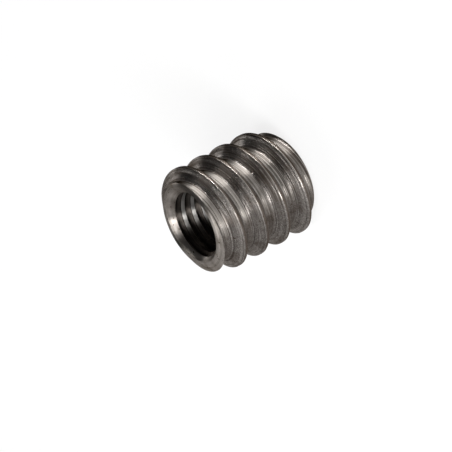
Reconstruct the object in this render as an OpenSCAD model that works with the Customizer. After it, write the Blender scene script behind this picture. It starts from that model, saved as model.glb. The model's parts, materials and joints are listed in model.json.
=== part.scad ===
// Screw-in threaded insert.
// The coarse outside thread cuts its way into the host, and a machine screw goes into the bore.
// The insert stands on its lower end: its axis is +Z and its origin is the centre of that end.
// The outside thread is right-handed. The fine thread inside is not cut here: the bore is
// a plain cylinder of that thread's minor diameter.

/* [Bore] */
// Minor diameter of the fine thread inside the bore
bore_d = 6.9; // [4:0.05:10]
// How far the countersink widens the bore's radius at each end
countersink_w = 0.66; // [0.3:0.02:1]
// Angle between the countersink and the axis
countersink_angle = 45; // [30:1:60]

/* [Body] */
// Length of the insert from end to end
insert_length = 12.7; // [8:0.1:30]
// Wall between the bore and the root of the outside thread
root_wall = 1.32; // [1.2:0.01:3]
// Width of the flat ring around the countersink on each end
end_ring_w = 0.56; // [0.2:0.02:1]
// Angle between the lower end's outside chamfer and the axis
lower_chamfer_angle = 45; // [35:1:65]
// Angle between the upper end's outside chamfer and the axis
upper_chamfer_angle = 57; // [35:1:65]

/* [Outside thread] */
// How far the thread climbs in one turn
thread_pitch = 2.86; // [2.4:0.02:5]
// Height of the crest above the root
thread_depth = 1.23; // [0.6:0.005:1.6]
// Width of the narrow flat on top of the crest
crest_w = 0.36; // [0.1:0.02:0.8]
// Angle between each flank and a plane square to the axis
flank_angle = 30; // [15:1:35]
// Radius where each flank runs into the root
root_fillet_r = 0.25; // [0.05:0.05:0.5]
// Angle around the axis at which the crest leaves the plane of the lower end
thread_start = 14; // [0:1:359]

/* [Smoothness] */
// Straight segments in one turn of the outside thread
turn_segments = 64; // [32:4:96]
// Straight segments in each root fillet
fillet_segments = 2; // [1:1:4]

/* [Hidden] */

// Radii, from the bore outwards
bore_r = bore_d / 2;
countersink_r = bore_r + countersink_w;
end_ring_r = countersink_r + end_ring_w;
root_r = bore_r + root_wall;
crest_r = root_r + thread_depth;

// Depth of the countersink along the axis
countersink_depth = countersink_w / tan(countersink_angle);

// Half of the thread's section, from the middle of the crest down to the root
fillet_turn = 90 - flank_angle;
flank_foot = crest_w / 2 + thread_depth * tan(flank_angle);
fillet_centre = flank_foot + root_fillet_r * tan(fillet_turn / 2);

// A point on the root fillet as [distance from the middle of the crest, radius].
// part runs from 0 at the flank to 1 at the root
function fillet_point(part) =
    let (angle = 270 - fillet_turn * (1 - part))
    [fillet_centre + root_fillet_r * cos(angle), root_r + root_fillet_r * (1 + sin(angle))];

fillet_parts = [for (i = [0:fillet_segments]) i / fillet_segments];
half_section = concat([[crest_w / 2, crest_r]], [for (part = fillet_parts) fillet_point(part)]);

// One pitch of the section, from below the crest to above it
half_count = len(half_section);
thread_section = concat(
    [for (i = [half_count - 1:-1:0]) [-half_section[i][0], half_section[i][1]]],
    half_section
);
corners = len(thread_section);

// The thread is swept past both ends, and the blank below trims it
spare_turns = 1;
turns = ceil(insert_length / thread_pitch) + 2 * spare_turns;
climb_steps = turns * turn_segments;
cap_reach = 3 * thread_pitch;
cut_over = 1;
round_fn = 96;

// A point of the thread's surface: step counts segments up the helix, corner counts around the section
function thread_point(step, corner) =
    let (
        angle = 360 * step / turn_segments,
        climb = thread_pitch * ((angle - thread_start) / 360 - spare_turns),
        at = thread_section[corner]
    )
    [at[1] * cos(angle), at[1] * sin(angle), climb + at[0]];

// The number of that point in the list. The corner after the last is the first one of the next turn
function point_number(step, corner) =
    corner < corners
        ? step * corners + corner
        : (step + turn_segments) * corners + corner - corners;

// A solid bar with the outside thread on it, longer than the insert at both ends
module threaded_bar() {
    points = [
        for (step = [0:climb_steps + turn_segments], corner = [0:corners - 1])
            thread_point(step, corner)
    ];
    low_centre = len(points);
    high_centre = low_centre + 1;

    // Two triangles between each pair of neighbouring steps and corners
    skin = [
        for (step = [0:climb_steps - 1], corner = [0:corners - 1])
            let (
                low_near = point_number(step, corner),
                low_far = point_number(step + 1, corner),
                high_near = point_number(step, corner + 1),
                high_far = point_number(step + 1, corner + 1)
            )
            each [[low_near, high_far, low_far], [low_near, high_near, high_far]]
    ];

    // The open edge at each end: once around the helix, then straight back along the section
    low_edge = concat(
        [for (step = [0:turn_segments - 1]) point_number(step, 0)],
        [for (corner = [corners:-1:1]) point_number(0, corner)]
    );
    high_edge = concat(
        [for (step = [climb_steps:climb_steps + turn_segments - 1]) point_number(step, 0)],
        [for (corner = [corners:-1:1]) point_number(climb_steps, corner)]
    );
    edge_count = len(low_edge);
    low_cap = [for (i = [0:edge_count - 1]) [low_edge[i], low_edge[(i + 1) % edge_count], low_centre]];
    high_cap = [for (i = [0:edge_count - 1]) [high_edge[(i + 1) % edge_count], high_edge[i], high_centre]];

    polyhedron(
        points = concat(points, [[0, 0, -cap_reach], [0, 0, insert_length + cap_reach]]),
        faces = concat(skin, low_cap, high_cap)
    );
}

// The turned blank that the thread is cut on: a bar with flat ends and an outside chamfer at each.
// Its chamfers run on past the crest, so that they cut every turn that they meet
module turned_blank() {
    blank_r = crest_r + cut_over;
    lower_chamfer_depth = (blank_r - end_ring_r) / tan(lower_chamfer_angle);
    upper_chamfer_depth = (blank_r - end_ring_r) / tan(upper_chamfer_angle);
    rotate_extrude($fn = round_fn)
        polygon([
            [0, 0],
            [end_ring_r, 0],
            [blank_r, lower_chamfer_depth],
            [blank_r, insert_length - upper_chamfer_depth],
            [end_ring_r, insert_length],
            [0, insert_length]
        ]);
}

// The bore with a countersink at each end, to be taken away
module bore_cut() {
    rotate_extrude($fn = round_fn)
        polygon([
            [0, -cut_over],
            [countersink_r, -cut_over],
            [countersink_r, 0],
            [bore_r, countersink_depth],
            [bore_r, insert_length - countersink_depth],
            [countersink_r, insert_length],
            [countersink_r, insert_length + cut_over],
            [0, insert_length + cut_over]
        ]);
}

module threaded_insert() {
    color("dimgray")
        difference() {
            intersection() {
                threaded_bar();
                turned_blank();
            }
            bore_cut();
        }
}

threaded_insert();
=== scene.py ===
# %% [markdown]
# # A screw-in insert of turned steel
# This part is a short steel bush. A coarse thread outside screws it into wood or board, and a fine
# machine thread inside takes a bolt. A lathe made all of it from one bar, so it is one closed mesh
# here too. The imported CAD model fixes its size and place. This script gives it its looks: the fine
# thread in the bore, eased edges, lathe marks and the finish of bare steel.

# %% Load the frame
import json
import math

import bpy
import numpy as np
from mathutils import Matrix, Vector


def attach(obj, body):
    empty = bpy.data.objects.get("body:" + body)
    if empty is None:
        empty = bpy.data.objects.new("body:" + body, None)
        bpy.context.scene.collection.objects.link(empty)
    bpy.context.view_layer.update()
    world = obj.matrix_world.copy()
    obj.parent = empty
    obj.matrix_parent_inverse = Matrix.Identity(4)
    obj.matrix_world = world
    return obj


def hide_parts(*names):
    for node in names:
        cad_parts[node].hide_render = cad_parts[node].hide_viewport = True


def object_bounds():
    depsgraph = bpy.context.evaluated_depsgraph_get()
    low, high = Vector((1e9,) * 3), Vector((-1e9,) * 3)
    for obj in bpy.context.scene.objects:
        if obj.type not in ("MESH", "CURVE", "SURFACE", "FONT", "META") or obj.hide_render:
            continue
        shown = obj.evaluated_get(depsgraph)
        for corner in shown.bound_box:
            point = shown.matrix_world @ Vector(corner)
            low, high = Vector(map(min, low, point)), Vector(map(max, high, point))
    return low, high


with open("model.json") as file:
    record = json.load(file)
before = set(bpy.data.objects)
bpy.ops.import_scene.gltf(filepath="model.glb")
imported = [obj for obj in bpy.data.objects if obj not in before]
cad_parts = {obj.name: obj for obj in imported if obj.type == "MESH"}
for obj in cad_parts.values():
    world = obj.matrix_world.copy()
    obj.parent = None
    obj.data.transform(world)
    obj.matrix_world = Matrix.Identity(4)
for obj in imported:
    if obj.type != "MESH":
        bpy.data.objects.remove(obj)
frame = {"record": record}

cad_low, cad_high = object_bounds()
print("CAD box in metres:", tuple(cad_low), tuple(cad_high))

# %% [markdown]
# ## Sizes
# Blender works in metres, but a lathe hand thinks in millimetres. So the shapes are worked out in
# millimetres and scaled once, when the mesh is made. The overall sizes come from the frame and its
# record. What the record doesn't hold, such as the pitch of the outside thread, is named here.

# %% Sizes from the frame
MM = 0.001
mounts = {mount["name"]: mount for mount in frame["record"]["mounts"]}

insert_length = (cad_high[2] - cad_low[2]) / MM
crest_r = (cad_high[0] - cad_low[0]) / 2 / MM
bore_r = mounts["bore"]["dims"]["r_mm"]
countersink_w = (insert_length - mounts["bore"]["dims"]["length_mm"]) / 2
countersink_r = bore_r + countersink_w
end_ring_r = 2 * mounts["upper_end"]["pos_m"][0] / MM - countersink_r
print(f"length {insert_length:.2f} mm, crest radius {crest_r:.2f} mm, end ring out to {end_ring_r:.3f} mm")

# %% Sizes of the two threads and the chamfers
outside_pitch = 2.86
outside_root_r = 4.77
outside_crest_w = 0.36
outside_flank = math.radians(30)
outside_start = math.radians(14)

bore_pitch = 1.25
bore_major_r = 4.0
bore_flank = math.radians(30)
bore_start = math.radians(113)

lower_chamfer = math.tan(math.radians(45))
upper_chamfer = math.tan(math.radians(57))
for name, pitch in (("outside", outside_pitch), ("in the bore", bore_pitch)):
    print(f"{insert_length / pitch:.1f} turns {name}")

# %% [markdown]
# ## Outlines with eased corners
# Every shape here is turned, so it starts as an outline: a chain of points, each a height and a
# radius. A real tool leaves no sharp corner, and an eased one gives the light an edge to catch. A
# Bevel modifier is the usual way to ease a finished mesh, but a bevel needs room beside each edge,
# and a thread that runs out to nothing has none. So a short arc replaces each corner of the outline
# first. Long stretches are cut into short ones, because thread and chamfers will cross each other.

# %% Ease and divide an outline
def eased(corners, radii, steps):
    """An outline whose inner corners are rounded with the given radii."""
    corners = [np.array(corner, float) for corner in corners]
    outline = [corners[0]]
    for before, corner, after, radius in zip(corners, corners[1:], corners[2:], radii):
        ways = [(side - corner) / np.linalg.norm(side - corner) for side in (before, after)]
        half_angle = math.acos(float(np.dot(*ways))) / 2
        inward = (ways[0] + ways[1]) / np.linalg.norm(ways[0] + ways[1])
        centre = corner + inward * radius / math.sin(half_angle)
        spokes = [corner + way * radius / math.tan(half_angle) - centre for way in ways]
        turn = math.pi - 2 * half_angle
        for i in range(steps + 1):
            shares = math.sin(turn * (1 - i / steps)), math.sin(turn * i / steps)
            outline.append(centre + (spokes[0] * shares[0] + spokes[1] * shares[1]) / math.sin(turn))
    return outline + [corners[-1]]


def divided(outline, longest):
    """The same outline with no stretch much longer than longest."""
    result = [outline[0]]
    for start, end in zip(outline, outline[1:]):
        pieces = max(1, round(float(np.linalg.norm(end - start)) / longest))
        result += [start + (end - start) * piece / pieces for piece in range(1, pieces + 1)]
    return np.array(result)


def thread_outline(pitch, foot, foot_r, top, top_r, radii, steps, longest, extra=()):
    """One pitch of a thread, from the foot of one turn to the foot of the next.

    foot and top are half the widths of the ridge at its foot and at its top. radii ease the lower
    foot, the lower edge of the top, its upper edge and the upper foot. extra adds corners between
    the upper foot and the next turn."""
    corners = [(foot - pitch, foot_r), (-foot, foot_r), (-top, top_r), (top, top_r), (foot, foot_r)]
    ridge = eased(corners + [(pitch - foot, foot_r)], radii, steps)[1:-1]
    ends = [np.array(corner) for corner in extra] + [ridge[0] + np.array([pitch, 0.0])]
    return divided(ridge + ends, longest)


# %% [markdown]
# ## The outside thread's section
# The coarse thread is a ridge with 30 degree flanks and a narrow flat on top. Its feet are well
# rounded, as a threading tool with a round nose leaves them. The tool also scribed a fine line along
# the root of each turn, which is drawn as a small groove. Cutting pushes the metal over, so the
# crest's lower edge is rounder than its upper one.

# %% The outside thread
foot_ease, upper_crest_ease, lower_crest_ease = 0.25, 0.07, 0.14
scribed_line, scribed_w, scribed_depth = 1.62, 0.09, 0.03
longest_stretch = 0.12

outside_foot = outside_crest_w / 2 + (crest_r - outside_root_r) * math.tan(outside_flank)
scribed = [
    (scribed_line - scribed_w / 2, outside_root_r), (scribed_line, outside_root_r - scribed_depth),
    (scribed_line + scribed_w / 2, outside_root_r),
]
outside_outline = thread_outline(
    outside_pitch, outside_foot, outside_root_r, outside_crest_w / 2, crest_r,
    (foot_ease, lower_crest_ease, upper_crest_ease, foot_ease),
    steps=3, longest=longest_stretch, extra=scribed,
)
print(f"{len(outside_outline) - 1} points to a pitch")

# %% [markdown]
# ## The bore thread's section
# The bore holds a machine thread with the usual 60 degree form, and a flat of an eighth of the pitch
# at its root. The tap's hole was drilled at the top of its range, so the crests kept a broad flat of
# drilled steel. A bump could only hint at such a thread, and the countersink cuts across it in plain
# view, so it is modelled. It is finer than the outside one and mostly in the dark, so a few points
# to a pitch are enough.

# %% The bore thread
bore_ease, bore_stretch = 0.04, 0.2
bore_foot = bore_pitch * 7 / 16
bore_crest = bore_foot - (bore_major_r - bore_r) * math.tan(bore_flank)
bore_outline = thread_outline(
    bore_pitch, bore_foot, bore_major_r, bore_crest, bore_r, (bore_ease,) * 4, steps=1, longest=bore_stretch
)
print(f"{len(bore_outline) - 1} points to a pitch")

# %% [markdown]
# ## The two ends
# Each end has a countersink, a flat ring and a chamfer. Here they are one outline that runs from
# inside the bore, over the ring, and out along the chamfer. The edge between ring and chamfer is
# rounded, as a file rounds it on the spinning part, and more so at the upper end. The middle of each
# outline becomes plain rings of points. Its two arms are the cones that cut the threads off. A
# Boolean could cut them too, but it cuts wherever the faces happen to lie. A grid can move its own
# points onto the edge.

# %% The outlines of the ends, as depth below the end and radius
rim_ease, lower_ring_ease, upper_ring_ease, ease_steps = 0.06, 0.25, 0.4, 6
past_crest = 1
inner_reach, outer_reach = 0.075, 0.055


def end_outline(chamfer, ring_ease):
    """One end from inside the bore out to past the crest."""
    corners = [
        (countersink_w, bore_r), (0, countersink_r), (0, end_ring_r),
        ((crest_r + past_crest - end_ring_r) / chamfer, crest_r + past_crest),
    ]
    return np.array(eased(corners, (rim_ease, ring_ease), ease_steps))


def cone_radius(outline, depth, outside):
    """The radius of an end's chamfer or countersink at a depth."""
    arm = outline[len(outline) // 2:] if outside else outline[:len(outline) // 2][::-1]
    return np.interp(depth, arm[:, 0], arm[:, 1])


ends = {
    "lower": end_outline(lower_chamfer, lower_ring_ease),
    "upper": end_outline(upper_chamfer, upper_ring_ease),
}
for name, outline in ends.items():
    ring_arc = outline[ease_steps + 2:-1, 1]
    print(name, "end: ring eased over", round(float(np.ptp(ring_arc)), 3), "mm")

# %% [markdown]
# ## Outlines carried around the axis
# A Screw modifier can sweep an outline into a thread, but it knows nothing of the cones that cut the
# thread off at each end. So the mesh is a grid worked out in numbers. Its columns stand at even
# angles, and its rows climb with the helix, so a crest always lies along a row and never looks
# stepped. Rows that run past an end of the part gather on its edge. Where a column meets a cone, the
# nearest row moves to the crossing, so that the edge between cone and thread comes out clean.

# %% A threaded wall as a grid of heights and radii
COLUMNS = 272
spare_turns = 3
angles = 2 * math.pi * np.arange(COLUMNS) / COLUMNS


def threaded_wall(outline, pitch, start, outside):
    """The grid of one wall. spare is below 0 on a cone, and crossing marks the points on its edge."""
    side, reach = (1, outer_reach) if outside else (-1, inner_reach)
    low, high = reach, insert_length - reach
    per_turn = len(outline) - 1
    climb = pitch * (angles - start) / (2 * math.pi)
    turns = np.arange(-spare_turns, math.ceil(insert_length / pitch) + spare_turns)
    height = np.clip((outline[:-1, 0] + pitch * turns[:, None]).ravel()[:, None] + climb, low, high)
    near_end = 0.2 * pitch / per_turn
    height[height < low + near_end] = low
    height[height > high - near_end] = high

    def thread_r(z):
        phase = (z - climb - outline[0, 0]) % pitch + outline[0, 0]
        return np.interp(phase, outline[:, 0], outline[:, 1])

    def cone_r(z):
        lower = cone_radius(ends["lower"], z, outside)
        upper = cone_radius(ends["upper"], insert_length - z, outside)
        return side * np.minimum(side * lower, side * upper)

    spare = side * (cone_r(height) - thread_r(height))
    crossing = np.zeros(height.shape, bool)
    for row in range(len(height) - 1):
        meets = (spare[row] * spare[row + 1] < 0) & (height[row + 1] > height[row])
        share = spare[row] / np.where(meets, spare[row] - spare[row + 1], 1)
        meeting = height[row] + share * (height[row + 1] - height[row])
        for near, chosen in ((row, meets & (share < 0.5)), (row + 1, meets & (share >= 0.5))):
            height[near] = np.where(chosen, meeting, height[near])
            spare[near] = np.where(chosen, 0, spare[near])
            crossing[near] |= chosen
    steps = np.linalg.norm(np.diff(outline, axis=0), axis=1)
    return {
        "height": height, "radius": side * np.minimum(side * thread_r(height), side * cone_r(height)),
        "spare": spare, "crossing": crossing, "low": low, "high": high, "per_turn": per_turn,
        "along": np.tile(np.cumsum(steps) - steps, len(turns)), "step": np.tile(steps, len(turns)),
    }


outside_wall = threaded_wall(outside_outline, outside_pitch, outside_start, True)
bore_wall = threaded_wall(bore_outline, bore_pitch, bore_start, False)
print("rows outside and in the bore:", len(outside_wall["height"]), len(bore_wall["height"]))

# %% [markdown]
# ## From grids to one closed mesh
# Each grid becomes quads. The last column joins the first one a whole turn higher up, which closes
# the helix. Rings of points over each end join the two walls into one solid. Each face gets a zone,
# which later becomes its material, and a UV: U counts turns around the axis, and V measures
# millimetres across the lathe marks. On a thread V runs along the section, on a cone it is the depth
# below the end, and over an end it counts outwards. An automatic unwrap would keep neither count.

# %% Collect the faces
ZONES = ["thread", "faced", "tapped"]
points, faces, zones, face_uvs = [], [], [], []


def add_face(corners, uvs, zone):
    """Keeps one face, without the corners that fell together."""
    kept = [i for i in range(len(corners)) if corners[i] != corners[i - 1]]
    if len({corners[i] for i in kept}) < 3:
        return
    faces.append([corners[i] for i in kept])
    face_uvs.append([uvs[i] for i in kept])
    zones.append(ZONES.index(zone))


def add_points(radius, height):
    """Adds whole rings of points and returns the number of the first one."""
    first = len(points)
    rings = np.stack([radius * np.cos(angles), radius * np.sin(angles), height], axis=-1)
    points.extend(rings.reshape(-1, 3))
    return first


# %% Faces of a threaded wall
def add_wall(wall, outside, zone):
    """Adds a wall's faces and returns the two rings of points where it ends."""
    height, per_turn = wall["height"], wall["per_turn"]
    first = add_points(wall["radius"], height)
    free = (height > wall["low"]) & (height < wall["high"])
    lowest, highest = free.argmax(axis=0) - 1, len(height) - free[::-1].argmax(axis=0)

    def point(row, column):
        return first + min(max(row, lowest[column]), highest[column]) * COLUMNS + column

    for column in range(COLUMNS):
        right = (column + 1) % COLUMNS
        lift = 0 if right else per_turn
        last = min(len(height) - 1 - lift, highest[column] + per_turn)
        for row in range(max(0, lowest[column] - per_turn), last):
            spots = [(row, column), (row + lift, right), (row + lift + 1, right), (row + 1, column)]
            corners = [point(*spot) for spot in spots]
            if len(set(corners)) < 3:
                continue
            low_v, high_v = wall["along"][row], wall["along"][row] + wall["step"][row]
            around = [column / COLUMNS, (column + 1) / COLUMNS]
            uvs = [(around[0], low_v), (around[1], low_v), (around[1], high_v), (around[0], high_v)]
            on_cone = np.mean([wall["spare"][spot] for spot in spots]) < 0
            if on_cone:
                depths = [min(height[spot], insert_length - height[spot]) for spot in spots]
                uvs = [(uv[0], depth) for uv, depth in zip(uvs, depths)]
            order = [0, 1, 2, 3] if outside else [3, 2, 1, 0]
            cut = [wall["crossing"][spots[i]] for i in order]
            pieces = [order]
            if cut[0] and cut[2]:
                pieces = [[order[i] for i in three] for three in ((0, 1, 2), (0, 2, 3))]
            elif cut[1] and cut[3]:
                pieces = [[order[i] for i in three] for three in ((0, 1, 3), (1, 2, 3))]
            for piece in pieces:
                add_face([corners[i] for i in piece], [uvs[i] for i in piece], "faced" if on_cone else zone)
    return [
        [first + row[column] * COLUMNS + column for column in range(COLUMNS)] for row in (lowest, highest)
    ]


outside_rings = add_wall(outside_wall, True, "thread")
bore_rings = add_wall(bore_wall, False, "tapped")
print(f"{len(faces)} faces on the walls")

# %% Faces of the ends
for upper, name in enumerate(("lower", "upper")):
    outline = ends[name]
    outer_arm = outline[len(outline) // 2:]
    inner_arm = outline[:len(outline) // 2]
    over = [p for p in inner_arm if p[0] < inner_reach] + [p for p in outer_arm if p[0] < outer_reach]
    rings, travelled = [bore_rings[upper]], [0.0]
    previous = np.array([inner_reach, cone_radius(outline, inner_reach, False)])
    for spot in over + [np.array([outer_reach, cone_radius(outline, outer_reach, True)])]:
        travelled.append(travelled[-1] + float(np.linalg.norm(spot - previous)))
        previous = spot
    for depth, radius in over:
        z = insert_length - depth if upper else depth
        first = add_points(np.full(COLUMNS, radius), np.full(COLUMNS, z))
        rings.append([first + column for column in range(COLUMNS)])
    rings.append(outside_rings[upper])
    for (inner, inner_v), (outer, outer_v) in zip(zip(rings, travelled), zip(rings[1:], travelled[1:])):
        for column in range(COLUMNS):
            right = (column + 1) % COLUMNS
            corners = [inner[column], outer[column], outer[right], inner[right]]
            around = [column / COLUMNS, (column + 1) / COLUMNS]
            uvs = [(around[0], inner_v), (around[0], outer_v), (around[1], outer_v), (around[1], inner_v)]
            if not upper:
                corners, uvs = corners[::-1], uvs[::-1]
            add_face(corners, uvs, "faced")
print(f"{len(points)} points, {len(faces)} faces")

# %% Build the mesh
SHARP_FROM = math.radians(28)


def build_insert():
    """The insert as one object, smooth but for the edges sharper than SHARP_FROM."""
    mesh = bpy.data.meshes.new("threaded_insert_turned")
    used = sorted({corner for face in faces for corner in face})
    number = {old: new for new, old in enumerate(used)}
    corners = [[number[corner] for corner in face] for face in faces]
    mesh.from_pydata([Vector(points[old]) * MM for old in used], [], corners)
    uv_layer = mesh.uv_layers.new(name="turns_and_millimetres")
    uv_layer.uv.foreach_set("vector", [value for uvs in face_uvs for uv in uvs for value in uv])
    mesh.polygons.foreach_set("material_index", zones)
    mesh.shade_smooth()
    mesh.set_sharp_from_angle(angle=SHARP_FROM)
    insert = bpy.data.objects.new("threaded_insert_turned", mesh)
    bpy.context.scene.collection.objects.link(insert)
    return insert


insert = build_insert()
edge_uses = {}
for polygon in insert.data.polygons:
    for key in polygon.edge_keys:
        edge_uses[key] = edge_uses.get(key, 0) + 1
insert.data.calc_loop_triangles()
open_edges = sum(uses != 2 for uses in edge_uses.values())
print(len(insert.data.loop_triangles), "triangles,", open_edges, "open edges")

# %% [markdown]
# ## Helpers for materials
# Artists pick colours as sRGB hex values, but a renderer adds up light in linear values, so one
# function converts them. Another small function adds a node, sets it and links its inputs, which
# keeps each material's recipe readable from top to bottom. Two nodes need their inputs by number. A
# Math node counts from 0. A Mix node has its factor in 0, and mixes 2 and 3 as values or 6 and 7 as
# colours.

# %% Colours and nodes
def linear(hex_colour):
    """An sRGB hex colour as linear red, green, blue and alpha."""
    parts = [int(hex_colour[i:i + 2], 16) / 255 for i in (1, 3, 5)]
    return tuple(p / 12.92 if p <= 0.04045 else ((p + 0.055) / 1.055) ** 2.4 for p in parts) + (1.0,)


def add_node(tree, kind, inputs=(), **settings):
    """Adds a node. An input is a value, an output to link, or a node whose result is linked."""
    node = tree.nodes.new(kind)
    for name, value in settings.items():
        setattr(node, name, value)
    for name, value in dict(inputs).items():
        if isinstance(value, bpy.types.Node):
            value = next(output for output in value.outputs if output.enabled)
        if isinstance(value, bpy.types.NodeSocket):
            tree.links.new(value, node.inputs[name])
        else:
            node.inputs[name].default_value = value
    return node


def new_material(name):
    """An empty material and its tree of nodes."""
    material = bpy.data.materials.new(name)
    material.use_nodes = True
    material.node_tree.nodes.clear()
    return material, material.node_tree


print("mid grey #808080 is", round(linear("#808080")[0], 3), "in linear light")

# %% [markdown]
# ## Lathe marks
# The tool left fine grooves that follow the thread, and facing the ends left the same in circles.
# Each zone's V coordinate counts millimetres across those marks. A Wave texture on V would space them
# evenly, unlike real ones. A 4D noise that changes fast with V, and slowly with the place on the
# part, gives lines of uneven strength that start and fade. Real marks are a few hundredths of a
# millimetre apart. They are drawn coarser here, because finer ones would blur into a flat grey.

# %% Lines left by the tool
def lathe_lines(tree, place, spacing_mm, length_mm, detail):
    """Noise from 0 to 1 that changes every spacing_mm across the marks and every length_mm along."""
    uv = add_node(tree, "ShaderNodeSeparateXYZ", {"Vector": place.outputs["UV"]})
    across = add_node(tree, "ShaderNodeMath", {0: uv.outputs["Y"], 1: 1 / spacing_mm}, operation="MULTIPLY")
    along = add_node(
        tree, "ShaderNodeVectorMath", {0: place.outputs["Object"], 1: (1 / length_mm / MM,) * 3},
        operation="MULTIPLY",
    )
    return add_node(
        tree, "ShaderNodeTexNoise",
        {"Vector": along, "W": across, "Scale": 1.0, "Detail": detail, "Roughness": 0.6},
        noise_dimensions="4D",
    )


# %% [markdown]
# ## Spots, and the side that was scuffed
# Steel that has lain in a box of its own kind isn't even. Specks and pits sit all over it, and cutting
# oil has dried into brown stains. There are too many to model. Each kind is a plain noise in the
# part's own coordinates, of which a Map Range keeps only the highest values. One side of the part was
# scuffed dull on its neighbours, while the other kept the tool's shine. That side is a soft step
# along X, and a slow noise sways its edge, because a straight one would look masked off.

# %% Spots and the scuffed side
def spots(tree, place, size_mm, low, high, detail=2.0):
    """A mask that is 1 inside spots of about size_mm. low and high say where their soft edge lies."""
    noise = add_node(
        tree, "ShaderNodeTexNoise",
        {"Vector": place.outputs["Object"], "Scale": 1 / size_mm / MM, "Detail": detail, "Roughness": 0.55},
    )
    return add_node(tree, "ShaderNodeMapRange", {"Value": noise, "From Min": low, "From Max": high})


def scuffed_side(tree, place, strength):
    """A mask that rises to strength on the side towards -X, where the steel is dull."""
    sway_size_mm, sway_mm, unscuffed_x, scuffed_x = 1.4, 3.0, 0.4, -2.0
    spot = add_node(tree, "ShaderNodeSeparateXYZ", {"Vector": place.outputs["Object"]})
    sway = add_node(
        tree, "ShaderNodeTexNoise",
        {"Vector": place.outputs["Object"], "Scale": 1 / sway_size_mm / MM, "Detail": 2.0},
    )
    swayed = add_node(
        tree, "ShaderNodeMath", {0: sway, 1: sway_mm * MM, 2: spot.outputs["X"]}, operation="MULTIPLY_ADD"
    )
    step = add_node(
        tree, "ShaderNodeMapRange",
        {"Value": swayed, "From Min": unscuffed_x * MM, "From Max": scuffed_x * MM},
        interpolation_type="SMOOTHSTEP",
    )
    return add_node(tree, "ShaderNodeMath", {0: step, 1: strength}, operation="MULTIPLY")


# %% [markdown]
# ## Masks by place
# The other marks of use each belong to one place: the crest, the root, the ring on an end, or the
# side that something leant on. Painting them by hand would tie them to this one mesh. Worked out from
# the coordinates, they follow the part when its sizes change. A band is measured in V, a side by its
# direction from the axis, and a ring by its distance from the axis.

# %% Masks for a band, a side and a ring
def band(tree, place, middle_mm, half_mm, soft_mm):
    """A mask that is 1 within half_mm of a V and fades over soft_mm."""
    uv = add_node(tree, "ShaderNodeSeparateXYZ", {"Vector": place.outputs["UV"]})
    offset = add_node(tree, "ShaderNodeMath", {0: uv.outputs["Y"], 1: middle_mm}, operation="SUBTRACT")
    away = add_node(tree, "ShaderNodeMath", {0: offset}, operation="ABSOLUTE")
    return add_node(
        tree, "ShaderNodeMapRange",
        {"Value": away, "From Min": half_mm + soft_mm, "From Max": half_mm},
        interpolation_type="SMOOTHSTEP",
    )


def from_axis(tree, place):
    """The way from the axis to the place, level with it."""
    return add_node(
        tree, "ShaderNodeVectorMath", {0: place.outputs["Object"], 1: (1, 1, 0)}, operation="MULTIPLY"
    )


def facing(tree, place, toward, low, high):
    """A mask for the side that lies toward a direction. low and high are cosines."""
    way = add_node(tree, "ShaderNodeVectorMath", {0: from_axis(tree, place)}, operation="NORMALIZE")
    cosine = add_node(tree, "ShaderNodeVectorMath", {0: way, 1: toward}, operation="DOT_PRODUCT")
    return add_node(
        tree, "ShaderNodeMapRange", {"Value": cosine, "From Min": low, "From Max": high},
        interpolation_type="SMOOTHSTEP",
    )


def farther_out(tree, place, radius_mm, soft_mm):
    """A mask that is 1 more than radius_mm from the axis."""
    reach = add_node(tree, "ShaderNodeVectorMath", {0: from_axis(tree, place)}, operation="LENGTH")
    edges = {"From Min": (radius_mm - soft_mm) * MM, "From Max": (radius_mm + soft_mm) * MM}
    return add_node(tree, "ShaderNodeMapRange", {"Value": reach, **edges})


# %% Where the crest, the root and the bore's flat lie in V
def v_between(outline, first, last):
    """The V of two corners of an outline, where its first corner has V 0."""
    lengths = np.cumsum(np.linalg.norm(np.diff(outline, axis=0), axis=1))
    return float(lengths[first - 1]), float(lengths[last - 1])


near_top_mm, past_foot_mm = 0.03, 0.12
on_crest = np.flatnonzero(outside_outline[:, 1] > crest_r - near_top_mm)
in_root = np.flatnonzero(outside_outline[:, 0] > outside_foot + past_foot_mm)
on_flat = np.flatnonzero(bore_outline[:, 1] < bore_r + near_top_mm)
crest_v = v_between(outside_outline, on_crest[0], on_crest[-1])
root_v = v_between(outside_outline, in_root[0], len(outside_outline) - 1)
flat_v = v_between(bore_outline, on_flat[0], on_flat[-1])
for name, (low_v, high_v) in {"crest": crest_v, "root": root_v, "bore's flat": flat_v}.items():
    print(f"the {name} lies between V {low_v:.2f} and {high_v:.2f} mm")

# %% [markdown]
# ## Bare turned steel
# The insert is free-cutting steel, straight from the lathe and only wiped clean. Every surface of it
# starts from the same recipe, so that the zones look like one bar. The tool's lines mix a dull and a
# bright steel, the deepest of them hold dirt, and stains and pits lie over that. Where the steel is
# scuffed, specks take the place of the lines and, outside the bore, it is rougher. The recipe is a
# dictionary of nodes for colour, relief and roughness, which the steps after it change in turn.

# %% Steel as the tool left it
speck_mm, pit_mm, stain_mm = 0.14, 0.34, 1.7
fine_length_mm, broad_length_mm, fine_share = 14.0, 7.0, 1.5
speck_strength, stain_strength = 0.62, 0.55
GROOVE_DIRT = "#332d28"


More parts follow.
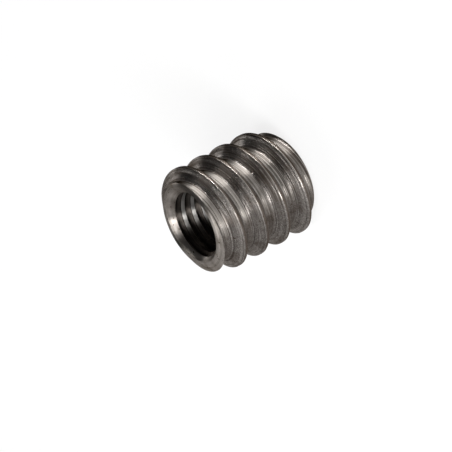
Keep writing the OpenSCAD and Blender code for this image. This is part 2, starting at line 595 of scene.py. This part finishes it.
def bare_steel(tree, place, scuffed, bright, dull, stain, marks_mm, darkening, smooth, rough):
    """The colour, relief and roughness of turned steel. darkening is how much the grooves darken."""
    fine = lathe_lines(tree, place, marks_mm, fine_length_mm, detail=3.0)
    broad = lathe_lines(tree, place, 3 * marks_mm, broad_length_mm, detail=1.0)
    both = add_node(tree, "ShaderNodeMath", {0: fine, 1: fine_share, 2: broad}, operation="MULTIPLY_ADD")
    lines = add_node(tree, "ShaderNodeMapRange", {"Value": both, "From Min": 1.0, "From Max": 1.5})
    grooves = add_node(
        tree, "ShaderNodeMapRange", {"Value": fine, "From Min": 0.45, "From Max": 0.36, "To Max": darkening}
    )
    specks = spots(tree, place, speck_mm, low=0.38, high=0.64)
    pits = spots(tree, place, pit_mm, low=0.645, high=0.71, detail=3.0)
    stains = spots(tree, place, stain_mm, low=0.48, high=0.68, detail=4.0)
    thin_stains = add_node(tree, "ShaderNodeMath", {0: stains, 1: stain_strength}, operation="MULTIPLY")
    specked = add_node(tree, "ShaderNodeMath", {0: scuffed, 1: speck_strength}, operation="MULTIPLY")

    tone = add_node(tree, "ShaderNodeMix", {0: specked, 2: lines, 3: specks})
    colour = add_node(tree, "ShaderNodeMix", {0: tone, 6: linear(dull), 7: linear(bright)}, data_type="RGBA")
    for mask, dark in ((grooves, GROOVE_DIRT), (thin_stains, stain), (pits, stain)):
        colour = add_node(tree, "ShaderNodeMix", {0: mask, 6: colour, 7: linear(dark)}, data_type="RGBA")

    relief = add_node(tree, "ShaderNodeMath", {0: specks, 1: specked, 2: lines}, operation="MULTIPLY_ADD")
    relief = add_node(tree, "ShaderNodeMath", {0: relief, 1: pits}, operation="SUBTRACT")

    roughness = add_node(tree, "ShaderNodeMix", {0: scuffed, 2: smooth, 3: rough})
    for mask, rougher in ((lines, -0.08), (stains, 0.1)):
        roughness = add_node(
            tree, "ShaderNodeMath", {0: mask, 1: rougher, 2: roughness}, operation="MULTIPLY_ADD"
        )
    return {
        "colour": colour, "relief": relief, "roughness": roughness,
        "lines": lines, "broad": broad, "grooves": grooves,
    }


# %% [markdown]
# ## Burnished steel
# Where another thread slid over the steel, it pressed the marks flat. Their bright colour is partly a
# painted highlight. Such a band could be a second material, but its edge would then follow the faces.
# A mask fades it instead. The rubbing missed places, so the broad lines break the mask up, and it ends
# where the scuffs begin.

# %% Where something rubbed, and what that does
scuffs_hide, burnish_flattens = 3.0, 0.85


def rubbed_and_highlighted(tree, steel, touched, scuffed, patchy):
    """The touched places that get worn bright, partly as a painted highlight. patchy is how much of them the
    broad lines spare.
    """
    worn = add_node(
        tree, "ShaderNodeMapRange",
        {"Value": steel["broad"], "From Min": 0.25, "From Max": 0.6, "To Min": 1 - patchy},
    )
    unscuffed = add_node(
        tree, "ShaderNodeMath", {0: scuffed, 1: -scuffs_hide, 2: worn}, operation="MULTIPLY_ADD"
    )
    return add_node(tree, "ShaderNodeMath", {0: touched, 1: unscuffed}, operation="MULTIPLY", use_clamp=True)


def press_flat(tree, steel, mask, flattened, rougher):
    """Takes the share flattened off the relief where the mask is 1, and changes the roughness there."""
    kept = add_node(tree, "ShaderNodeMath", {0: mask, 1: -flattened, 2: 1.0}, operation="MULTIPLY_ADD")
    steel["relief"] = add_node(tree, "ShaderNodeMath", {0: steel["relief"], 1: kept}, operation="MULTIPLY")
    steel["roughness"] = add_node(
        tree, "ShaderNodeMath", {0: mask, 1: rougher, 2: steel["roughness"]}, operation="MULTIPLY_ADD"
    )


def burnish_and_highlight(tree, steel, mask, colour, smoother):
    """Changes the recipe to bright steel with flat marks where the mask is 1. The bright colour is partly a
    painted highlight.
    """
    steel["colour"] = add_node(
        tree, "ShaderNodeMix", {0: mask, 6: steel["colour"], 7: linear(colour)}, data_type="RGBA"
    )
    press_flat(tree, steel, mask, burnish_flattens, -smoother)


# %% [markdown]
# ## The shader of turned steel
# Steel is a metal, so Metallic is 1 and the colour goes to the reflection. The marks smear each
# reflection across the grooves, and that is what Anisotropic is for: the grooves that do it are too
# fine to draw as relief. Its direction comes from a radial tangent around Z, a quarter turn off, so
# that reflections stretch along the section. Scuffs run every way, so there the stretch nearly stops.
# The tint colours only what glances off at a low angle. On the thread it is darker towards +X, as
# painted shade, and on the ends it is darker all over.

# %% From a recipe to a material
TURNED_STRETCH, SCUFFED_STRETCH = 0.92, 0.15


def finish_steel(tree, steel, scuffed, marks_depth_mm, stretch, glancing):
    """Adds the relief, the metal shader and the output."""
    bump = add_node(
        tree, "ShaderNodeBump", {"Height": steel["relief"], "Distance": marks_depth_mm * MM, "Strength": 1.0}
    )
    stretched = add_node(tree, "ShaderNodeMix", {0: scuffed, 2: stretch, 3: SCUFFED_STRETCH})
    tangent = add_node(tree, "ShaderNodeTangent", direction_type="RADIAL", axis="Z")
    shader = add_node(
        tree, "ShaderNodeBsdfPrincipled",
        {
            "Base Color": steel["colour"], "Metallic": 1.0, "Roughness": steel["roughness"],
            "Anisotropic": stretched, "Anisotropic Rotation": 0.25, "Tangent": tangent,
            "Normal": bump, "Specular Tint": glancing,
        },
    )
    add_node(tree, "ShaderNodeOutputMaterial", {"Surface": shader})
    print(len(tree.nodes), "nodes in the finish")


# %% [markdown]
# ## The polished root
# The round nose of the threading tool rubbed the root as much as it cut it. Away from the scuffed side
# its lines are almost pressed flat, and the root gets a lighter colour, which is a painted sheen. Its
# grooves stay dark. A smooth material of its own would end in a hard edge on the flanks, so the recipe
# is changed inside a soft band instead. Its relief is weakened by the same mask.

# %% Polish the root
ROOT_SHEEN = "#b0aaa3"
polish_flattens, polish_roughens = 0.75, 0.03


def polish_and_sheen_root(tree, steel, root, scuffed):
    """Lightens the root as a painted sheen and flattens its marks where it isn't scuffed."""
    kept = add_node(tree, "ShaderNodeMath", {0: 1.0, 1: scuffed}, operation="SUBTRACT")
    shine = add_node(tree, "ShaderNodeMath", {0: root, 1: kept}, operation="MULTIPLY")
    painted_sheen = add_node(tree, "ShaderNodeMath", {0: shine, 1: steel["lines"]}, operation="MULTIPLY")
    painted_sheen = add_node(
        tree, "ShaderNodeMath", {0: painted_sheen, 1: steel["grooves"]}, operation="SUBTRACT", use_clamp=True
    )
    # The lighter root colour is a painted sheen.
    steel["colour"] = add_node(
        tree, "ShaderNodeMix", {0: painted_sheen, 6: steel["colour"], 7: linear(ROOT_SHEEN)}, data_type="RGBA"
    )
    press_flat(tree, steel, shine, polish_flattens, polish_roughens)


# %% [markdown]
# ## Chatter beside the crest
# A slender part trembles under the tool. The tremble shows as rows of tiny beads on the flank beside
# the crest. They repeat every 0.2 mm and the mesh's columns stand 0.14 mm apart, too far to model
# them. So they are relief: two waves multiplied, one that counts around the turn and one across the
# marks. Chatter comes and goes, so large spots let it through only here and there.

# %% Beads of chatter
beads_in_turn, bead_mm, beads_height = 170, 0.2, 0.9
beads_from_crest_mm, chatter_patch_mm = 0.35, 2.6


def add_chatter(tree, place, steel):
    """Adds rows of beads to the relief, a whole number of them in each turn."""
    uv = add_node(tree, "ShaderNodeSeparateXYZ", {"Vector": place.outputs["UV"]})
    waves = []
    for part, cycles in (("X", beads_in_turn), ("Y", 1 / bead_mm)):
        angle = add_node(
            tree, "ShaderNodeMath", {0: uv.outputs[part], 1: 2 * math.pi * cycles}, operation="MULTIPLY"
        )
        waves.append(add_node(tree, "ShaderNodeMath", {0: angle}, operation="SINE"))
    beads = add_node(tree, "ShaderNodeMath", {0: waves[0], 1: waves[1]}, operation="MULTIPLY")
    beside = band(tree, place, crest_v[1] + beads_from_crest_mm, half_mm=0.12, soft_mm=0.15)
    patches = spots(tree, place, chatter_patch_mm, low=0.42, high=0.6)
    there = add_node(tree, "ShaderNodeMath", {0: beside, 1: patches}, operation="MULTIPLY")
    beads = add_node(tree, "ShaderNodeMath", {0: beads, 1: there}, operation="MULTIPLY")
    steel["relief"] = add_node(
        tree, "ShaderNodeMath", {0: beads, 1: beads_height, 2: steel["relief"]}, operation="MULTIPLY_ADD"
    )


print(f"beads repeat every {2 * math.pi * crest_r / beads_in_turn:.2f} mm around, {bead_mm} mm across")

# %% [markdown]
# ## Painted shade, and a darker root
# A band of painted shade runs along the crest's lower edge, and the root is darker on the scuffed side.
# On the side towards +X, the crests and the root get a dark brown of painted shade. The shader has a
# Coat for films, but that lays a second reflection on top, and this one only darkens the steel. So it
# is mixed into the colour and into the tint at a low angle.

# %% Painted shade, and a darker root
CLEAN_GLANCE, SHADED_GLANCE, PAINTED_SHADE_BROWN = "#b0aca8", "#605c58", "#37322d"
crest_shade, scuffed_root_darkening, side_shade_strength = 0.75, 0.3, 0.8


def darken_thread(tree, place, steel, root, scuffed, darkening):
    """Paints shade along the crest's lower edge and towards +X, darkens the root on the scuffed side, and
    returns the tint at a low angle.
    """
    crest_middle, crest_half = (crest_v[0] + crest_v[1]) / 2, (crest_v[1] - crest_v[0]) / 2
    # A band of painted shade along the crest's lower edge.
    crest_edge_shade = band(tree, place, crest_middle - 0.07, half_mm=0.1, soft_mm=0.05)
    crest_edge_shade = add_node(tree, "ShaderNodeMath", {0: crest_edge_shade, 1: crest_shade}, operation="MULTIPLY")
    in_scuffs = add_node(tree, "ShaderNodeMath", {0: root, 1: scuffed}, operation="MULTIPLY")
    in_scuffs = add_node(tree, "ShaderNodeMath", {0: in_scuffs, 1: scuffed_root_darkening}, operation="MULTIPLY")
    edge_shade_and_dark_root = add_node(tree, "ShaderNodeMath", {0: crest_edge_shade, 1: in_scuffs}, operation="MAXIMUM")

    # Painted shade over the crests and the root on the side towards +X.
    crest = band(tree, place, crest_middle, half_mm=crest_half + 0.03, soft_mm=0.05)
    shaded_crest_side = facing(tree, place, toward=(1, 0, 0), low=0.45, high=0.8)
    shaded_root_side = facing(tree, place, toward=(1, 0, 0), low=0.76, high=0.92)
    shaded_crest = add_node(tree, "ShaderNodeMath", {0: crest, 1: shaded_crest_side}, operation="MULTIPLY")
    shaded_root = add_node(tree, "ShaderNodeMath", {0: root, 1: shaded_root_side}, operation="MULTIPLY")
    darkened = add_node(tree, "ShaderNodeMath", {0: shaded_crest, 1: shaded_root}, operation="MAXIMUM")
    darkened = add_node(tree, "ShaderNodeMath", {0: darkened, 1: side_shade_strength}, operation="MULTIPLY")

    for mask, dark in ((edge_shade_and_dark_root, darkening), (darkened, PAINTED_SHADE_BROWN)):
        steel["colour"] = add_node(
            tree, "ShaderNodeMix", {0: mask, 6: steel["colour"], 7: linear(dark)}, data_type="RGBA"
        )
    return add_node(
        tree, "ShaderNodeMix", {0: darkened, 6: linear(CLEAN_GLANCE), 7: linear(SHADED_GLANCE)}, data_type="RGBA"
    )


# %% [markdown]
# ## The thread's finish
# Everything above comes together on the outside thread, which was cut with a single-point tool. Its
# marks are the deepest of the three finishes and break each highlight into streaks. The bright line
# along the crest's upper edge is where the thread slid in a hole, and its bright colour is partly a
# painted highlight. The steps lie over each other: first the cut, then polish and rubbing, and last
# the dirt and the painted shade.

# %% Turned steel for the outside thread
# This brown is used for stains and for painted shade.
STAIN_AND_SHADE_BROWN = "#463b32"


def turned_steel_thread():
    """Steel cut with a threading tool."""
    material, tree = new_material("turned_steel_thread")
    place = add_node(tree, "ShaderNodeTexCoord")
    scuffed = scuffed_side(tree, place, strength=1.0)
    steel = bare_steel(
        tree, place, scuffed, bright="#a19c98", dull="#524c47", stain=STAIN_AND_SHADE_BROWN,
        marks_mm=0.09, darkening=0.7, smooth=0.31, rough=0.58,
    )

    root_middle, root_half = (root_v[0] + root_v[1]) / 2, (root_v[1] - root_v[0]) / 2
    root = band(tree, place, root_middle, root_half, soft_mm=0.12)
    polish_and_sheen_root(tree, steel, root, scuffed)
    crest_edge = band(tree, place, middle_mm=crest_v[1] - 0.05, half_mm=0.035, soft_mm=0.03)
    crest_highlight_line = rubbed_and_highlighted(tree, steel, crest_edge, scuffed, patchy=0.6)
    # The bright crest line is partly a painted highlight, kept off the scuffed side.
    burnish_and_highlight(tree, steel, crest_highlight_line, "#cfc8c0", smoother=0.14)
    add_chatter(tree, place, steel)
    glancing = darken_thread(tree, place, steel, root, scuffed, STAIN_AND_SHADE_BROWN)
    finish_steel(tree, steel, scuffed, marks_depth_mm=0.018, stretch=TURNED_STRETCH, glancing=glancing)
    return material


insert.data.materials.append(turned_steel_thread())

# %% [markdown]
# ## The finish of the ends
# The ends were faced and countersunk with sharp tools, so their marks are shallow and hold little
# dirt, and the steel has one even sheen. Only the ring and the chamfer around it are scuffed, because
# nothing reaches into the countersink. Towards +Y the ring and chamfer are darkened with painted
# shade. Painting it into a texture would do too, but a mask for the side times a mask for the ring
# holds when the sizes change.

# %% Faced steel for the ends
ring_shade_strength, ring_smoother = 0.62, 0.05


def faced_steel_ends():
    """Steel cut square to the axis, with a scuffed ring."""
    material, tree = new_material("faced_steel_ends")
    place = add_node(tree, "ShaderNodeTexCoord")
    ring = farther_out(tree, place, radius_mm=countersink_r + 0.05, soft_mm=0.04)
    side = scuffed_side(tree, place, strength=0.8)
    scuffed = add_node(tree, "ShaderNodeMath", {0: side, 1: ring}, operation="MULTIPLY")
    steel = bare_steel(
        tree, place, scuffed, bright="#a19b96", dull="#8a847e", stain=STAIN_AND_SHADE_BROWN,
        marks_mm=0.12, darkening=0.25, smooth=0.40, rough=0.62,
    )

    # Painted shade on the ring and chamfer towards +Y.
    shaded_ring_side = facing(tree, place, toward=(0.2, 0.98, 0), low=0.8, high=0.97)
    ring_shade = add_node(tree, "ShaderNodeMath", {0: ring, 1: shaded_ring_side}, operation="MULTIPLY")
    ring_shade = add_node(tree, "ShaderNodeMath", {0: ring_shade, 1: ring_shade_strength}, operation="MULTIPLY")
    steel["colour"] = add_node(
        tree, "ShaderNodeMix", {0: ring_shade, 6: steel["colour"], 7: linear(PAINTED_SHADE_BROWN)}, data_type="RGBA"
    )
    steel["roughness"] = add_node(
        tree, "ShaderNodeMath", {0: ring, 1: -ring_smoother, 2: steel["roughness"]}, operation="MULTIPLY_ADD"
    )
    darkened = linear("#6a6662")
    finish_steel(tree, steel, scuffed, marks_depth_mm=0.004, stretch=TURNED_STRETCH, glancing=darkened)
    return material


insert.data.materials.append(faced_steel_ends())

# %% [markdown]
# ## The finish of the bore
# A tap cut the fine thread, and its steel is darker than the outside's. The crests are left from the
# drilled hole. Towards +X the flats get the burnish of the outer crest: their marks are pressed flat,
# and their pale colour is partly a painted highlight. To the eye that is a ladder of pale bands in a
# dark hole. Their light smears along the bore, which asks for the full stretch and a middling
# roughness, not smoother steel.

# %% Tapped steel for the bore
def tapped_steel_bore():
    """Steel cut with a tap, with the flats of the drilled hole on its crests."""
    material, tree = new_material("tapped_steel_bore")
    place = add_node(tree, "ShaderNodeTexCoord")
    scuffed = scuffed_side(tree, place, strength=1.5)
    steel = bare_steel(
        tree, place, scuffed, bright="#5e5853", dull="#3b3632", stain="#1e1a17",
        marks_mm=0.12, darkening=0.7, smooth=0.44, rough=0.44,
    )

    flat_middle, flat_half = (flat_v[0] + flat_v[1]) / 2, (flat_v[1] - flat_v[0]) / 2
    flats = band(tree, place, flat_middle, half_mm=flat_half - 0.04, soft_mm=0.04)
    highlight_side = facing(tree, place, toward=(1, 0, 0), low=-0.2, high=0.2)
    touched = add_node(tree, "ShaderNodeMath", {0: flats, 1: highlight_side}, operation="MULTIPLY")
    # The pale flats towards +X are partly a painted highlight.
    burnish_and_highlight(tree, steel, rubbed_and_highlighted(tree, steel, touched, scuffed, patchy=0.4), "#cdcac6", smoother=0.0)
    clean = linear(CLEAN_GLANCE)
    finish_steel(tree, steel, scuffed, marks_depth_mm=0.004, stretch=1.0, glancing=clean)
    return material


insert.data.materials.append(tapped_steel_bore())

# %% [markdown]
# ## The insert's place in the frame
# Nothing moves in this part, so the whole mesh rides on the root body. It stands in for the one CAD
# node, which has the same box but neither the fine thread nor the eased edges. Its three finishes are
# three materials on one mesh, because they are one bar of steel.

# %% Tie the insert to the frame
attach(insert, "root")
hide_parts("threaded_insert")
print(insert.name, "rides on root and stands for threaded_insert")

# %% [markdown]
# ## The floor
# The insert stands on a plain pale table. The floor's diffuse part catches the soft shadow. Strong
# lamps on a white floor would make the background too, but would change the light on the part.
# Instead an emission lifts the grey to white. Only camera, glossy and transmission rays can see it,
# so the metal reflects a white table, while the glow sheds no diffuse light.

# %% The floor
FLOOR_R, FLOOR_SIDES, FLOOR_GLOW = 3.0, 96, 0.8


def pale_floor():
    """A round table top at the height of the insert's lower end."""
    turns = [2 * math.pi * i / FLOOR_SIDES for i in range(FLOOR_SIDES)]
    mesh = bpy.data.meshes.new("floor")
    mesh.from_pydata(
        [(FLOOR_R * math.cos(turn), FLOOR_R * math.sin(turn), 0.0) for turn in turns],
        [], [list(range(FLOOR_SIDES))],
    )
    floor = bpy.data.objects.new("floor", mesh)
    bpy.context.scene.collection.objects.link(floor)

    material, tree = new_material("pale_table")
    diffuse = add_node(tree, "ShaderNodeBsdfDiffuse", {"Color": linear("#808080")})
    rays = add_node(tree, "ShaderNodeLightPath")
    seen = rays.outputs["Is Camera Ray"]
    for ray in ("Is Glossy Ray", "Is Transmission Ray"):
        seen = add_node(tree, "ShaderNodeMath", {0: seen, 1: rays.outputs[ray]}, operation="MAXIMUM")
    strength = add_node(tree, "ShaderNodeMath", {0: seen, 1: FLOOR_GLOW}, operation="MULTIPLY")
    glow = add_node(tree, "ShaderNodeEmission", {"Strength": strength})
    both = add_node(tree, "ShaderNodeAddShader", {0: diffuse, 1: glow})
    add_node(tree, "ShaderNodeOutputMaterial", {"Surface": both})
    mesh.materials.append(material)
    return floor


floor = pale_floor()
print(f"the floor is {2 * FLOOR_R:.0f} m across")

# %% [markdown]
# ## The room
# Metal shows what stands around it. In a real studio that is mostly dark room, and it gives the steel
# its deep tones. A picture of a studio could be wrapped around the scene, but a soft step from grey
# to darker grey is enough here. It is a little lighter near the horizon than overhead.

# %% The world
horizon_grey, overhead_grey, overhead_from = 0.11, 0.06, 0.6


def dim_room():
    """A grey all round that darkens with height."""
    world = bpy.data.worlds.new("studio")
    world.use_nodes = True
    tree = world.node_tree
    tree.nodes.clear()
    place = add_node(tree, "ShaderNodeTexCoord")
    parts = add_node(tree, "ShaderNodeSeparateXYZ", {"Vector": place.outputs["Generated"]})
    ramp = add_node(tree, "ShaderNodeValToRGB", {"Fac": parts.outputs["Z"]})
    stops = (0.0, horizon_grey), (overhead_from, overhead_grey)
    for element, (position, grey) in zip(ramp.color_ramp.elements, stops):
        element.position, element.color = position, (grey, grey, grey, 1)
    sky = add_node(tree, "ShaderNodeBackground", {"Color": ramp, "Strength": 1.0})
    add_node(tree, "ShaderNodeOutputWorld", {"Surface": sky})
    return world


bpy.context.scene.world = dim_room()
print("the room goes from", horizon_grey, "to", overhead_grey)

# %% [markdown]
# ## The lamps
# On polished metal a lamp isn't only a source of light, it is a picture: each bright patch is the
# reflection of one softbox. A single big one would make the steel look like satin all over. So
# eleven smaller ones stand around the part. The side lamp is long, low and thin. It draws the bright
# patch in every root, and all it adds to the countersink is a thin streak at the rim. All of them
# stand at the same distance, and a lamp's power follows from its radiance and its size, so that a
# wider one makes a wider patch and not a brighter one.

# %% The lamps
LAMP_DISTANCE = 0.6
SOFTBOXES = {
    # azimuth from the front towards the left, elevation, width, height, radiance
    "side": (-67, 1.7, 0.48, 0.022, 106.0),
    "high": (28, 54, 0.34, 0.22, 6.0),
    "low": (40, 33, 0.16, 0.20, 12.5),
    "front": (36, 8, 0.22, 0.20, 6.0),
    "left": (92, 42, 0.46, 0.24, 1.6),
    "rear": (132, 20, 0.34, 0.22, 1.1),
    "back": (164, 62, 0.18, 0.26, 5.0),
    "top": (0, 74, 0.20, 0.20, 1.5),
    "rim": (168, 36, 0.14, 0.14, 1.8),
    "far": (162, 16, 0.26, 0.16, 1.9),
    "right": (-150, 22, 0.28, 0.16, 2.2),
}
insert_middle = Vector((0, 0, insert_length / 2 * MM))


def softbox(name, azimuth, elevation, width, height, radiance):
    """A soft lamp that faces the middle of the part."""
    turn, rise = math.radians(azimuth), math.radians(elevation)
    way = Vector((-math.sin(turn) * math.cos(rise), -math.cos(turn) * math.cos(rise), math.sin(rise)))
    lamp = bpy.data.lights.new(name, "AREA")
    lamp.shape = "RECTANGLE"
    lamp.size, lamp.size_y = width, height
    lamp.energy = radiance * math.pi * width * height
    box = bpy.data.objects.new(name, lamp)
    box.location = insert_middle + way * LAMP_DISTANCE
    box.rotation_euler = way.to_track_quat("Z", "Y").to_euler()
    bpy.context.scene.collection.objects.link(box)
    return box


boxes = [softbox(name + "_softbox", *values) for name, values in SOFTBOXES.items()]
print(len(boxes), "lamps,", round(sum(box.data.energy for box in boxes), 2), "W in all")

# %% [markdown]
# ## The camera
# A long lens from 35 cm keeps the part's proportions, where a short one up close would swell its near
# end. The camera looks down at 29 degrees and is rolled, so that the standing part lies slanted in
# the picture with its mouth to the lower left. Its axes are worked out one by one, because a Track To
# constraint would keep it upright.

# %% Place the camera
camera_distance = 0.3505
camera_elevation = math.radians(29.12)
camera_roll = math.radians(27.74)
focal_length = 268.5
off_centre = (0.00374, 0.00757)

toward = Vector((0, -math.cos(camera_elevation), math.sin(camera_elevation)))
climb_axis = Vector((0, -math.sin(camera_elevation), -math.cos(camera_elevation)))
side_axis = Vector((-1, 0, 0))
right = math.cos(camera_roll) * climb_axis + math.sin(camera_roll) * side_axis
down = -math.sin(camera_roll) * climb_axis + math.cos(camera_roll) * side_axis
back = (toward + right * off_centre[0] - down * off_centre[1]).normalized()
right = (right - back * right.dot(back)).normalized()
up = back.cross(right)

lens = bpy.data.cameras.new("camera")
lens.lens, lens.sensor_width = focal_length, 36.0
lens.clip_start, lens.clip_end = 0.01, 20.0
camera = bpy.data.objects.new("camera", lens)
rotation = Matrix((right, up, back)).transposed().to_4x4()
camera.matrix_world = Matrix.Translation(insert_middle + toward * camera_distance) @ rotation
bpy.context.scene.collection.objects.link(camera)
bpy.context.scene.camera = camera

bpy.context.scene.view_settings.view_transform = "Standard"

# %% [markdown]
# ## The end
# Last, the view layer is updated, so that every object's place is worked out.

# %% The end
bpy.context.view_layer.update()
